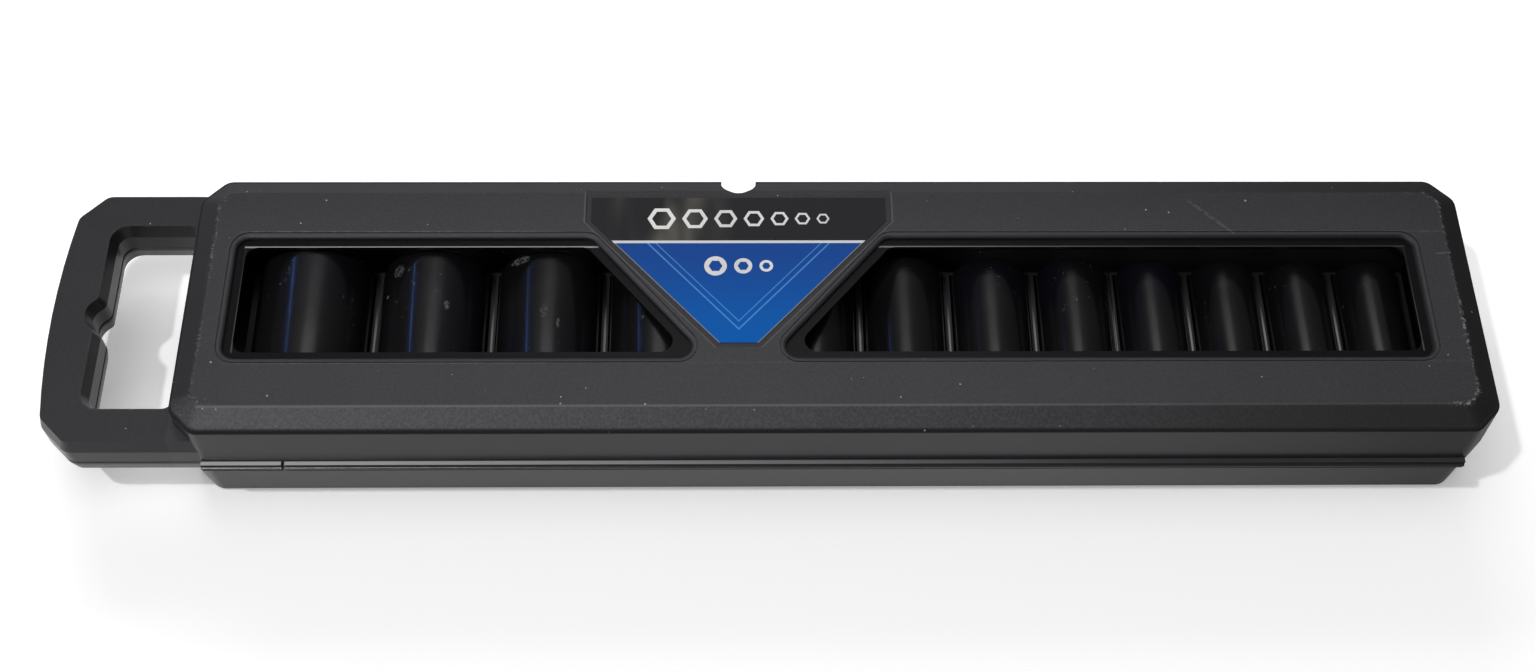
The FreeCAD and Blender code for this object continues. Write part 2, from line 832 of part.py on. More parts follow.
def socket(mark):
    body = new_body(f"socket_{mark}mm")
    body.Placement = Placement(Vector(0, 0, 0), Rotation(Vector(1, 0, 0), -90))
    place(body, f"x_{mark}", "socket_front", "socket_z")
    outside = f"out_{mark} / 2"
    drive = f"drive_{mark} / 2"
    profile = [
        ("0", "0"),
        (drive, "0"),
        (drive, "groove_z - groove_width / 2"),
        (f"{drive} - groove_depth", "groove_z - groove_width / 2 + groove_depth / 2"),
        (f"{drive} - groove_depth", "groove_z + groove_width / 2 - groove_depth / 2"),
        (drive, "groove_z + groove_width / 2"),
        (drive, "step_start"),
        (outside, "step_start + step_length"),
        (outside, "socket_length"),
        ("0", "socket_length"),
    ]
    spin(body, polygon(body, f"profile_{mark}", "0", profile, plane="XZ_Plane"))
    nose = number("socket_length")
    dress(body, "Fillet", f"nose_round_{mark}", "nose_round", lambda edge: level_edge(edge, nose))
    dress(body, "Fillet", f"drive_round_{mark}", "drive_round", lambda edge: level_edge(edge, 0))
    corner = f"corner_{mark}"
    flat = f"hex_{mark} / 2"
    hexagon = [
        (corner, "0"),
        (f"{corner} / 2", flat),
        (f"-{corner} / 2", flat),
        (f"-{corner}", "0"),
        (f"-{corner} / 2", f"-{flat}"),
        (f"{corner} / 2", f"-{flat}"),
    ]
    pocket(body, polygon(body, f"hexagon_{mark}", "socket_length", hexagon), f"hex_{mark} * hex_share")
    bore = circle(body, f"bore_{mark}", "socket_length", "0", "0", f"hex_{mark} * bore_share / 2")
    pocket(body, bore, "socket_length - drive_depth")
    half = "drive_square / 2"
    square = polygon(body, f"square_{mark}", "0", rectangle(f"-{half}", half, f"-{half}", half))
    pocket(body, square, "drive_depth", True)
    pin = circle(body, f"pin_hole_{mark}", "0", "0", "groove_z", "pin_radius", "XZ_Plane")
    through(body, pin, f"out_{mark}")
    return body


sub_parts = [
    case_base(),
    case_lid(),
    lid_liner(),
    label(),
    hinge_web("hinge_web_short", "-hinge_length / 2", "slit_x - slit_width / 2"),
    hinge_web("hinge_web_long", "slit_x + slit_width / 2", "hinge_length / 2"),
    closing_peg("grip_peg", grip_peg_x, grip_peg_y, "base_top - handle_sink + wall"),
    closing_peg("end_peg", end_peg_x, end_peg_y, "wall"),
]
for name, marks, start, seam_left, seam_right in racks:
    sub_parts.append(socket_rack(name, marks, start, seam_left, seam_right))
for mark in list(left_set) + list(right_set):
    sub_parts.append(socket(mark))

doc.removeObject("trial")
doc.recompute()

for thing in doc.Objects:
    if "Invalid" in thing.State or "Error" in thing.State:
        raise RuntimeError(f"{thing.Name} did not build: {thing.State}")

os.makedirs("parts", exist_ok=True)
for thing in sub_parts:
    if thing.Shape.isNull() or not thing.Shape.isValid():
        raise RuntimeError(f"{thing.Label} has no valid shape")
    thing.Shape.exportStep(f"parts/{thing.Label}.step")
    box = thing.Shape.BoundBox
    print(thing.Label, len(thing.Shape.Solids), round(thing.Shape.Volume), box)
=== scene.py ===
import math

import bmesh
import bpy
from mathutils import Matrix, Vector


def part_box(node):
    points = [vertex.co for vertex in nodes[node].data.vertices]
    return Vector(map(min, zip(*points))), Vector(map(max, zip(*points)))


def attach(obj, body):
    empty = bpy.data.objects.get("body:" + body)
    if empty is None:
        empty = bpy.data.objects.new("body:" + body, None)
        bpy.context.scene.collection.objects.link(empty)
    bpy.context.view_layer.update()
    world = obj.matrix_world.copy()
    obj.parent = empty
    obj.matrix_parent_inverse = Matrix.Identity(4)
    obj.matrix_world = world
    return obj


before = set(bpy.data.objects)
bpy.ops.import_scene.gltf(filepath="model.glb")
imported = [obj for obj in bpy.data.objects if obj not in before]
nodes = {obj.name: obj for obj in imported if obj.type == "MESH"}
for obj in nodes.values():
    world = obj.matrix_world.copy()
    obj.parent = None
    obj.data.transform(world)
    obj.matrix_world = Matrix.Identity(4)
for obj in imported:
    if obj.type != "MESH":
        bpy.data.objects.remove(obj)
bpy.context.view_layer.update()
print("frame loaded:", len(nodes), "nodes")

scene = bpy.context.scene
scene.view_settings.view_transform = "Standard"

# middle of the case body, from the two ends of the hinge and the far side of the lid
caseBody = {"depth": 0.115, "height": 0.054}
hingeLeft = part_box("hinge_web_short")[0]
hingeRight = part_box("hinge_web_long")[1]
middleX = (hingeLeft.x + hingeRight.x) / 2
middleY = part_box("case_lid")[1].y - caseBody["depth"] / 2
labelMiddle = (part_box("label")[0].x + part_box("label")[1].x) / 2


def feed(tree, socket, value):
    if isinstance(value, bpy.types.NodeSocket):
        tree.links.new(value, socket)
    else:
        socket.default_value = value


def calc(tree, operation, first, second=0.0, clamp=False):
    node = tree.nodes.new("ShaderNodeMath")
    node.operation = operation
    node.use_clamp = clamp
    feed(tree, node.inputs[0], first)
    feed(tree, node.inputs[1], second)
    return node.outputs[0]


def chain(tree, operation, values):
    total, *others = values
    for value in others:
        total = calc(tree, operation, total, value)
    return total


def times(tree, *values):
    return chain(tree, "MULTIPLY", values)


def plus(tree, *values):
    return chain(tree, "ADD", values)


def largest(tree, *values):
    return chain(tree, "MAXIMUM", values)


def minus(tree, first, second):
    return calc(tree, "SUBTRACT", first, second)


def apart(tree, first, second):
    return calc(tree, "ABSOLUTE", minus(tree, first, second))


def scaled(tree, value, factor, base):
    return plus(tree, times(tree, value, factor), base)


def above(tree, value, limit):
    return calc(tree, "GREATER_THAN", value, limit)


def below(tree, value, limit):
    return calc(tree, "LESS_THAN", value, limit)


def between(tree, value, low, high):
    return times(tree, above(tree, value, low), below(tree, value, high))


def calcVector(tree, operation, first, second=(0, 0, 0)):
    node = tree.nodes.new("ShaderNodeVectorMath")
    node.operation = operation
    feed(tree, node.inputs[0], first)
    feed(tree, node.inputs[1], second)
    return node.outputs["Value"] if operation in ("LENGTH", "DOT_PRODUCT") else node.outputs["Vector"]


# a smooth step between low and high, from 0 to 1 or from start to end; a look lists these in this order
def fade(tree, value, low, high, start=0.0, end=1.0):
    node = tree.nodes.new("ShaderNodeMapRange")
    node.interpolation_type = "SMOOTHSTEP"
    for name, number in (("From Min", low), ("From Max", high), ("To Min", start), ("To Max", end)):
        feed(tree, node.inputs[name], number)
    feed(tree, node.inputs["Value"], value)
    return node.outputs["Result"]


def mixColour(tree, share, first, second):
    node = tree.nodes.new("ShaderNodeMix")
    node.data_type = "RGBA"
    feed(tree, node.inputs[0], share)
    feed(tree, node.inputs[6], first)
    feed(tree, node.inputs[7], second)
    return node.outputs[2]


def noise(tree, vector, scale, detail=2.0, roughness=0.5):
    node = tree.nodes.new("ShaderNodeTexNoise")
    feed(tree, node.inputs["Vector"], vector)
    feed(tree, node.inputs["Scale"], scale)
    node.inputs["Detail"].default_value = detail
    node.inputs["Roughness"].default_value = roughness
    return node.outputs["Fac"]


def cells(tree, vector, scale):
    node = tree.nodes.new("ShaderNodeTexVoronoi")
    feed(tree, node.inputs["Vector"], vector)
    feed(tree, node.inputs["Scale"], scale)
    return node.outputs


def axes(tree, vector):
    node = tree.nodes.new("ShaderNodeSeparateXYZ")
    feed(tree, node.inputs[0], vector)
    return node.outputs


def startGroup(name, vectors, numbers, outputs):
    tree = bpy.data.node_groups.new(name, "ShaderNodeTree")
    sockets = [(label, "INPUT", "NodeSocketVector") for label in vectors]
    sockets += [(label, "INPUT", "NodeSocketFloat") for label in numbers]
    sockets += [(label, "OUTPUT", "NodeSocketFloat") for label in outputs]
    for label, way, kind in sockets:
        tree.interface.new_socket(label, in_out=way, socket_type=kind)
    given = tree.nodes.new("NodeGroupInput").outputs
    result = tree.nodes.new("NodeGroupOutput").inputs
    return tree, given, result


def useGroup(tree, group, **values):
    node = tree.nodes.new("ShaderNodeGroup")
    node.node_tree = group
    for name, value in values.items():
        feed(tree, node.inputs[name], value)
    return node.outputs


grainLook = {"pebbleCells": 0.55, "pebbleShare": 0.4, "toneCells": 0.012}


# fine stipple of moulded plastic, and the slow change of tone across it
def makeMouldGrain():
    look = grainLook
    tree, given, result = startGroup("mouldGrain", ["Vector"], ["Cells"], ["Height", "Tone"])
    fine = noise(tree, given["Vector"], given["Cells"], detail=2.0, roughness=0.6)
    pebble = cells(tree, given["Vector"], times(tree, given["Cells"], look["pebbleCells"]))["Distance"]
    share = look["pebbleShare"]
    feed(tree, result["Height"], plus(tree, times(tree, fine, 1 - share), times(tree, pebble, share)))
    toneCells = times(tree, given["Cells"], look["toneCells"])
    feed(tree, result["Tone"], noise(tree, given["Vector"], toneCells, detail=3.0, roughness=0.6))
    return tree


wearLook = {"levelShare": 0.6, "specks": (0.5, 0.66), "patchCells": 0.05, "patches": (0.38, 0.62, 0.2, 1.0)}


# rubbed specks along the edge of a level face with cut corners
def makeEdgeWear():
    look = wearLook
    tree, given, result = startGroup(
        "edgeWear", ["Vector", "Middle", "Half"], ["Cut", "Width", "Cells"], ["Mask"]
    )
    local = calcVector(tree, "ABSOLUTE", calcVector(tree, "SUBTRACT", given["Vector"], given["Middle"]))
    past = axes(tree, calcVector(tree, "SUBTRACT", local, given["Half"]))
    corner = times(tree, plus(tree, past[0], past[1], given["Cut"]), math.sqrt(0.5))
    away = calc(tree, "ABSOLUTE", largest(tree, past[0], past[1], corner))
    level = times(tree, calc(tree, "ABSOLUTE", past[2]), look["levelShare"])
    band = fade(tree, largest(tree, away, level), given["Width"], 0.0)
    specks = noise(tree, given["Vector"], given["Cells"], detail=3.0, roughness=0.7)
    patches = noise(tree, given["Vector"], times(tree, given["Cells"], look["patchCells"]))
    rubbed = times(tree, fade(tree, specks, *look["specks"]), fade(tree, patches, *look["patches"]))
    feed(tree, result["Mask"], calc(tree, "MULTIPLY", band, rubbed, True))
    return tree


dustLook = {"leastSize": 0.35, "reach": 0.03, "raggedCells": 14.0, "ragged": 0.06, "leastBright": 0.3}


# sparse pale specks of dust, each cell of the pattern holding one at most
def makeDustSpecks():
    look = dustLook
    tree, given, result = startGroup("dustSpecks", ["Vector"], ["Cells", "Share", "Size"], ["Mask"])
    spots = cells(tree, given["Vector"], given["Cells"])
    chance = axes(tree, spots["Color"])
    chosen = below(tree, chance[0], given["Share"])
    size = times(tree, given["Size"], plus(tree, chance[1], look["leastSize"]))
    edge = noise(tree, given["Vector"], times(tree, given["Cells"], look["raggedCells"]))
    away = plus(tree, spots["Distance"], times(tree, edge, look["ragged"]))
    inside = below(tree, away, plus(tree, size, look["reach"]))
    bright = scaled(tree, chance[2], 1 - look["leastBright"], look["leastBright"])
    feed(tree, result["Mask"], calc(tree, "MULTIPLY", times(tree, chosen, inside), bright, True))
    return tree


scratchLook = {"start": (0.0, 0.3), "end": (1.0, 0.9), "breakCells": 700.0, "breaks": (0.3, 0.55)}


# one hairline scratch between two points
def makeScratch():
    look = scratchLook
    tree, given, result = startGroup("scratch", ["Vector", "Start", "Run"], ["Bow", "Width"], ["Mask"])
    offset = calcVector(tree, "SUBTRACT", given["Vector"], given["Start"])
    length = calcVector(tree, "LENGTH", given["Run"])
    reached = calcVector(tree, "DOT_PRODUCT", offset, given["Run"])
    along = calc(tree, "DIVIDE", reached, times(tree, length, length))
    nearest = tree.nodes.new("ShaderNodeVectorMath")
    nearest.operation = "SCALE"
    feed(tree, nearest.inputs[0], given["Run"])
    feed(tree, nearest.inputs["Scale"], along)
    aside = calcVector(tree, "LENGTH", calcVector(tree, "SUBTRACT", offset, nearest.outputs[0]))
    arch = times(tree, along, minus(tree, 1.0, along), given["Bow"])
    line = fade(tree, apart(tree, aside, arch), given["Width"], 0.0)
    ends = times(tree, fade(tree, along, *look["start"]), fade(tree, along, *look["end"]))
    broken = fade(tree, noise(tree, given["Vector"], look["breakCells"]), *look["breaks"])
    feed(tree, result["Mask"], calc(tree, "MULTIPLY", times(tree, line, ends), broken, True))
    return tree


mouldGrain = makeMouldGrain()
edgeWear = makeEdgeWear()
dustSpecks = makeDustSpecks()
scratch = makeScratch()
print("surface effects made")


def startMaterial(name):
    material = bpy.data.materials.new(name)
    material.use_nodes = True
    tree = material.node_tree
    shader = tree.nodes["Principled BSDF"]
    given = tree.nodes.new("ShaderNodeTexCoord").outputs
    return material, tree, shader, given


def setSurface(tree, shader, look, colour, roughness):
    feed(tree, shader.inputs["Base Color"], colour)
    feed(tree, shader.inputs["Roughness"], roughness)
    shader.inputs["Specular IOR Level"].default_value = look["gloss"]


def addBump(tree, shader, height, strength, distance):
    bump = tree.nodes.new("ShaderNodeBump")
    bump.inputs["Strength"].default_value = strength
    bump.inputs["Distance"].default_value = distance
    feed(tree, bump.inputs["Height"], height)
    feed(tree, shader.inputs["Normal"], bump.outputs["Normal"])


def addDust(tree, place, look, colour):
    dust = useGroup(tree, dustSpecks, Vector=place, **look["dust"])["Mask"]
    return mixColour(tree, times(tree, dust, look["dustShare"]), colour, look["dusty"])


# x and y from the middle of the case, height, depth below the top, and how far a face looks up
def caseSpot(tree, given):
    x, y, z = axes(tree, given["Object"])
    return {
        "x": minus(tree, x, middleX),
        "y": minus(tree, y, middleY),
        "z": z,
        "down": minus(tree, caseBody["height"], z),
        "up": axes(tree, given["Normal"])[2],
    }


caseLook = {
    "dark": (0.0187, 0.0182, 0.0225, 1),
    "light": (0.0268, 0.026, 0.0315, 1),
    # the colour of wear and pale specks, and of the painted highlights along the lid's front edge and the
    # V's edge
    "rubbed": (0.2, 0.2, 0.205, 1),
    "dusty": (0.3, 0.3, 0.295, 1),
    "hinge": (0.008, 0.008, 0.009, 1),
    # painted highlight colour on the top of the hinge lip
    "lipTop": (0.5, 0.5, 0.5, 1),
    # painted light: the sides of the lower shell are a lighter copy of the same plastic
    "litLowerSide": (0.036, 0.0355, 0.037, 1),
    # painted shade: the colour that stands in for shade on the shell
    "shade": (0.006, 0.006, 0.0065, 1),
    "gloss": 0.26,
    "fineCells": 2600.0,
    "coarseCells": 1500.0,
    "dust": {"Cells": 220.0, "Share": 0.25, "Size": 0.075},
    "dustUp": (0.5, 0.9),
    "frontSpecks": (0.4, 0.62, 0.0, 0.09),
    "levelCells": 850.0,
    "levelSpecks": (0.38, 0.62, 0.0, 0.035),
    "lowerHalf": (0.0262, 0.0256),
    "form": {
        "side": (0.4, 0.15),
        "slopeLow": (0.3, 0.6),
        "slopeHigh": (0.98, 0.9),
        "level": (0.98, 0.99),
        "frontSlope": (-0.041, -0.044),
        "handle": (-0.2515, -0.2525),
        "bevelDrop": 0.005,
        "bend": (0.0011, 0.0003),
        "foot": (0.0027, 0.0017),
        "lipProud": (0.0001, 0.0004),
        "lipUp": (0.6, 0.8),
        "lipHeight": (0.0268, 0.0272),
        "lipAlong": (-0.26, 0.16, 1.0, 0.08),
    },
    "recess": {
        "depth": 0.0008,
        "front": -0.0227,
        "tip": 0.0085,
        "slope": 0.915,
        "wide": 0.0602,
        "slack": 0.0001,
        # the painted highlight line along the V's edge
        "line": (0.0008, 0.0005),
        "lineDepth": (0.0003, 0.0001, 0.0, 0.22),
        # the floor of the V, which gets painted shade
        "floor": (0.0004, 0.0002),
    },
    "topWearAndHighlight": {
        "half": (0.2411, 0.0476),
        "edge": {"Cut": 0.0049, "Width": 0.0014, "Cells": 900.0},
        "ends": (0.014, 0.003, 0.12, 1.0),
        "rightEnd": (0.22, 0.235, 0.65, 2.2),
        "frontHighlightWidth": (0.0007, 0.0001),
        "frontHighlightDepth": (0.001, 0.0004),
        "frontHighlightAlong": (0.0, 0.2, 0.3, 0.08),
    },
    "rimWear": {
        "y": 0.0293,
        "width": (0.0006, 0.0002),
        "depth": (0.0006, 0.0002),
        "cells": 420.0,
        "patches": (0.45, 0.65, 0.35, 1.0),
        "leftEnd": (-0.233, -0.225),
        "pastWindow": (-0.105, -0.112, 0.12, 0.45),
        "nearSide": (-0.01, 0.01, 0.5, 1.0),
    },
    "holeWear": {
        "x": -0.2689,
        "z": 0.04015,
        "half": (0.0178, 0.04125),
        "edge": {"Cut": 0.004, "Width": 0.0009, "Cells": 1100.0},
        "share": 0.3,
    },
    "scratches": [
        {"start": (0.139, 0.046), "run": (0.0195, -0.0185), "bow": 0.0016, "width": 0.00022},
        {"start": (0.2345, 0.0188), "run": (0.0085, 0.0006), "bow": 0.0004, "width": 0.00018},
        {"start": (0.231, -0.0188), "run": (0.0095, 0.0005), "bow": -0.0004, "width": 0.0002},
        {"start": (0.239, 0.0105), "run": (0.004, -0.003), "bow": 0.0, "width": 0.00018},
    ],
    "scratchShare": 0.5,
    # painted shade: how much each place is darkened
    "paintedShades": {
        "gripHeight": (0.0335, 0.0345),
        "grip": 0.7,
        "handle": 0.5,
        "leftEnd": (-0.238, -0.241),
        "leftBack": (-0.044, -0.041),
        "left": 0.4,
        "right": (0.02, 0.22, 0.0, 0.85),
        "recess": 0.45,
        "back": (0.028, 0.046, 0.0, 0.2),
    },
    "roughness": {
        "grain": 0.14,
        "top": 0.5,
        "side": 0.24,
        "slope": 0.03,
        "lines": 0.45,
        "lipTop": 0.24,
        "lipFront": 0.5,
    },
    "bump": {
        "strength": 0.5,
        "distance": 0.00012,
        "top": 0.4,
        "sideLoss": 0.3,
        "front": 1.6,
        "lipRounding": -14000.0,
    },
}


# masks of the parts of the shell that have a finish of their own, and of the painted shadow lines along the
# bend below the bevel and the foot of the base
def caseForms(tree, at):
    form = caseLook["form"]
    handle = fade(tree, at["x"], *form["handle"])
    slope = times(tree, fade(tree, at["up"], *form["slopeLow"]), fade(tree, at["up"], *form["slopeHigh"]))
    bend = fade(tree, apart(tree, at["down"], form["bevelDrop"]), *form["bend"])
    bendShadowLine = times(tree, bend, minus(tree, 1.0, handle))
    proud = minus(tree, -caseBody["depth"] / 2, at["y"])
    return {
        "side": fade(tree, calc(tree, "ABSOLUTE", at["up"]), *form["side"]),
        "level": fade(tree, at["up"], *form["level"]),
        "slope": slope,
        "frontSlope": times(tree, slope, fade(tree, at["y"], *form["frontSlope"])),
        "handle": handle,
        # painted shadow lines along the bend below the bevel and along the foot of the base; the same lines
        # are rougher
        "lines": largest(tree, bendShadowLine, fade(tree, at["z"], *form["foot"])),
        "hinge": fade(tree, proud, *form["lipProud"]),
    }


# painted highlight on the upward face of the lid's hinge lip, fading towards the right
def lipHighlightMask(tree, at, hinge):
    form = caseLook["form"]
    top = times(tree, fade(tree, at["up"], *form["lipUp"]), fade(tree, at["z"], *form["lipHeight"]))
    return times(tree, hinge, top, fade(tree, at["x"], *form["lipAlong"]))


# the V for the label: a painted highlight line along its edge, and its floor, which is darkened as painted
# shade
def recessMasks(tree, at):
    recess = caseLook["recess"]
    aside = apart(tree, at["x"], labelMiddle - middleX)
    reach = scaled(tree, minus(tree, at["y"], recess["front"]), recess["slope"], recess["tip"])
    past = minus(tree, aside, calc(tree, "MINIMUM", reach, recess["wide"]))
    line = times(
        tree,
        above(tree, past, -recess["slack"]),
        fade(tree, past, *recess["line"]),
        above(tree, at["y"], recess["front"]),
        fade(tree, at["down"], *recess["lineDepth"]),
    )
    onFloor = fade(tree, apart(tree, at["down"], recess["depth"]), *recess["floor"])
    return line, times(tree, onFloor, below(tree, past, recess["slack"]))


# the edge of the lid's top: wear specks that are dense at the two ends, and a painted highlight line along
# the front that fades towards the right
def topWearAndHighlight(tree, at, place):
    wear = caseLook["topWearAndHighlight"]
    middle = (middleX, middleY, caseBody["height"])
    specks = useGroup(tree, edgeWear, Vector=place, Middle=middle, Half=(*wear["half"], 0.0), **wear["edge"])
    fromEnd = minus(tree, wear["half"][0], calc(tree, "ABSOLUTE", at["x"]))
    dense = times(tree, fade(tree, fromEnd, *wear["ends"]), fade(tree, at["x"], *wear["rightEnd"]))
    # painted highlight along the front edge of the lid's top
    line = times(
        tree,
        fade(tree, apart(tree, at["y"], -wear["half"][1]), *wear["frontHighlightWidth"]),
        fade(tree, at["down"], *wear["frontHighlightDepth"]),
        fade(tree, at["x"], *wear["frontHighlightAlong"]),
    )
    return largest(tree, calc(tree, "MULTIPLY", specks["Mask"], dense, True), line)


# the near and far edges of the windows, most over the left window
def rimWear(tree, at, place):
    wear = caseLook["rimWear"]
    away = apart(tree, calc(tree, "ABSOLUTE", at["y"]), wear["y"])
    return times(
        tree,
        fade(tree, away, *wear["width"]),
        fade(tree, at["down"], *wear["depth"]),
        fade(tree, noise(tree, place, wear["cells"], detail=3.0, roughness=0.7), *wear["patches"]),
        fade(tree, at["x"], *wear["leftEnd"]),
        fade(tree, at["x"], *wear["pastWindow"]),
        fade(tree, at["y"], *wear["nearSide"]),
    )


# the edge of the finger hole
def holeWear(tree, place):
    wear = caseLook["holeWear"]
    middle = (middleX + wear["x"], middleY, wear["z"])
    specks = useGroup(tree, edgeWear, Vector=place, Middle=middle, Half=(*wear["half"], 0.0), **wear["edge"])
    return times(tree, specks["Mask"], wear["share"])


def scratchLine(tree, place, mark):
    start = (middleX + mark["start"][0], middleY + mark["start"][1], caseBody["height"])
    line = useGroup(
        tree,
        scratch,
        Vector=place,
        Start=start,
        Run=(*mark["run"], 0.0),
        Bow=mark["bow"],
        Width=mark["width"],
    )
    return times(tree, line["Mask"], caseLook["scratchShare"])


# painted shade: how far each part of the shell is darkened where shade falls, on the grip and handle, the
# slopes at both ends, the floor of the V and the far strip, and along the bend and foot lines
def casePaintedShade(tree, at, forms, recessFloorShade):
    paintedShades = caseLook["paintedShades"]
    grip = times(tree, forms["handle"], forms["side"], fade(tree, at["z"], *paintedShades["gripHeight"]))
    atLeft = times(tree, fade(tree, at["x"], *paintedShades["leftEnd"]), fade(tree, at["y"], *paintedShades["leftBack"]))
    return largest(
        tree,
        forms["lines"],
        times(tree, grip, paintedShades["grip"]),
        times(tree, forms["handle"], paintedShades["handle"]),
        times(tree, forms["slope"], atLeft, paintedShades["left"]),
        times(tree, forms["slope"], fade(tree, at["x"], *paintedShades["right"])),
        times(tree, recessFloorShade, paintedShades["recess"]),
        fade(tree, at["y"], *paintedShades["back"]),
    )


def caseColour(tree, at, place, forms, tone, coarse):
    look = caseLook
    recessEdgeHighlight, recessFloorShade = recessMasks(tree, at)
    # wear, and the painted highlights along the lid's front edge and the V's edge
    wearAndHighlights = [topWearAndHighlight(tree, at, place), rimWear(tree, at, place), holeWear(tree, place), recessEdgeHighlight]
    wearAndHighlights += [scratchLine(tree, place, mark) for mark in look["scratches"]]
    frontSpecks = times(tree, forms["frontSlope"], fade(tree, coarse, *look["frontSpecks"]))
    levelNoise = noise(tree, place, look["levelCells"], detail=2.0, roughness=0.6)
    levelSpecks = times(tree, forms["level"], fade(tree, levelNoise, *look["levelSpecks"]))
    dust = useGroup(tree, dustSpecks, Vector=place, **look["dust"])["Mask"]
    layers = [
        (plus(tree, frontSpecks, levelSpecks), look["rubbed"]),
        # painted light on the sides of the lower shell
        (times(tree, forms["side"], fade(tree, at["z"], *look["lowerHalf"])), look["litLowerSide"]),
        (casePaintedShade(tree, at, forms, recessFloorShade), look["shade"]),
        (largest(tree, *wearAndHighlights), look["rubbed"]),
        (times(tree, dust, fade(tree, at["up"], *look["dustUp"])), look["dusty"]),
        (forms["hinge"], look["hinge"]),
        (lipHighlightMask(tree, at, forms["hinge"]), look["lipTop"]),
    ]
    colour = mixColour(tree, tone, look["dark"], look["light"])
    for share, tint in layers:
        colour = mixColour(tree, share, colour, tint)
    return colour


# sides are smoother than the stippled top, and the hinge lips the other way round
def caseRoughness(tree, forms, fine):
    rough = caseLook["roughness"]
    shell = plus(
        tree,
        times(tree, fine, rough["grain"]),
        fade(tree, forms["side"], 0.0, 1.0, rough["top"], rough["side"]),
        times(tree, forms["slope"], rough["slope"]),
        times(tree, forms["lines"], rough["lines"]),
    )
    lip = fade(tree, forms["side"], 0.0, 1.0, rough["lipTop"], rough["lipFront"])
    return fade(tree, forms["hinge"], 0.0, 1.0, shell, lip)


# stipple on the shell; the lips have none, and their fronts lean as a rounded lip would
def caseHeight(tree, at, forms, fine, coarse):
    bump = caseLook["bump"]
    onTop = times(tree, fine, minus(tree, bump["top"], times(tree, forms["side"], bump["sideLoss"])))
    onFront = times(tree, coarse, forms["frontSlope"], bump["front"])
    stipple = times(tree, plus(tree, onTop, onFront), minus(tree, 1.0, forms["hinge"]))
    rounding = times(tree, forms["hinge"], forms["side"], at["z"], bump["lipRounding"])
    return plus(tree, stipple, rounding)


def makeCasePlastic():
    look = caseLook
    material, tree, shader, given = startMaterial("casePlastic")
    place = given["Object"]
    at = caseSpot(tree, given)
    forms = caseForms(tree, at)
    grain = useGroup(tree, mouldGrain, Vector=place, Cells=look["fineCells"])
    fine = grain["Height"]
    coarse = useGroup(tree, mouldGrain, Vector=place, Cells=look["coarseCells"])["Height"]
    colour = caseColour(tree, at, place, forms, grain["Tone"], coarse)
    setSurface(tree, shader, look, colour, caseRoughness(tree, forms, fine))
    height = caseHeight(tree, at, forms, fine, coarse)
    addBump(tree, shader, height, look["bump"]["strength"], look["bump"]["distance"])
    return material


# a pair for roughness is a factor of the grain or tone and a base, one for bump a strength and a distance
linerLook = {
    "dark": (0.004, 0.004, 0.0045, 1),
    "light": (0.007, 0.007, 0.0075, 1),
    # colour of the painted highlight on the flange's edge
    "edge": (0.3, 0.3, 0.29, 1),
    "farEdge": 0.0235,
    "leftEdge": -0.2287,
    "rightEdge": 0.2242,
    "edgeWidth": 0.0006,
    "edgeCore": 0.00036,
    "edgeSlack": 0.0002,
    "farAlong": (-0.1, 0.16, 1.0, 0.1),
    "endShares": (0.2, 0.04),
    "edgeUp": (0.6, 0.9),
    "grainCells": 3000.0,
    "dusty": (0.3, 0.3, 0.3, 1),
    "dust": {"Cells": 260.0, "Share": 0.1, "Size": 0.03},
    "dustShare": 0.6,
    "roughness": (0.12, 0.3),
    "gloss": 0.06,
    "bump": (0.15, 0.00008),
}


# painted highlight: a pale line on the liner's flange, along the far side and the two ends of the windows,
# fading towards the right
def linerEdgeHighlight(tree, at):
    look = linerLook
    far, left, right = (look[key] for key in ("farEdge", "leftEdge", "rightEdge"))
    width, core, slack = (look[key] for key in ("edgeWidth", "edgeCore", "edgeSlack"))
    farLine = times(
        tree,
        fade(tree, at["y"], far + width, far + core),
        above(tree, at["y"], far - slack),
        between(tree, at["x"], left - width, right + width),
        fade(tree, at["x"], *look["farAlong"]),
    )
    leftLine = between(tree, at["x"], left - core, left + slack)
    rightLine = between(tree, at["x"], right - slack, right + core)
    endLines = times(
        tree,
        largest(tree, leftLine, rightLine),
        fade(tree, at["y"], -far, far, *look["endShares"]),
        between(tree, at["y"], -far, far),
    )
    return times(tree, largest(tree, farLine, endLines), fade(tree, at["up"], *look["edgeUp"]))


def makeLinerPlastic():
    look = linerLook
    material, tree, shader, given = startMaterial("linerPlastic")
    place = given["Object"]
    grain = useGroup(tree, mouldGrain, Vector=place, Cells=look["grainCells"])
    colour = mixColour(tree, grain["Tone"], look["dark"], look["light"])
    colour = mixColour(tree, linerEdgeHighlight(tree, caseSpot(tree, given)), colour, look["edge"])
    roughness = scaled(tree, grain["Height"], *look["roughness"])
    setSurface(tree, shader, look, addDust(tree, place, look, colour), roughness)
    addBump(tree, shader, grain["Height"], *look["bump"])
    return material


rackLook = {
    "dark": (0.006, 0.006, 0.0065, 1),
    "light": (0.012, 0.012, 0.012, 1),
    # colour of the painted highlight on the ridge tops
    "ridge": (0.3, 0.3, 0.29, 1),
    "ridgeShare": 0.8,
    "ridgeWidth": (0.0006, 0.0002),
    "ridgeDepth": (0.0006, 0.0001),
    "ridgeBack": (0.014, 0.03),
    "grainCells": 2200.0,
    "dusty": (0.4, 0.4, 0.4, 1),
    "dust": {"Cells": 240.0, "Share": 0.12, "Size": 0.035},
    "dustShare": 0.5,
    "roughness": (0.15, 0.5),
    "gloss": 0.2,
    "bump": (0.3, 0.0001),
}


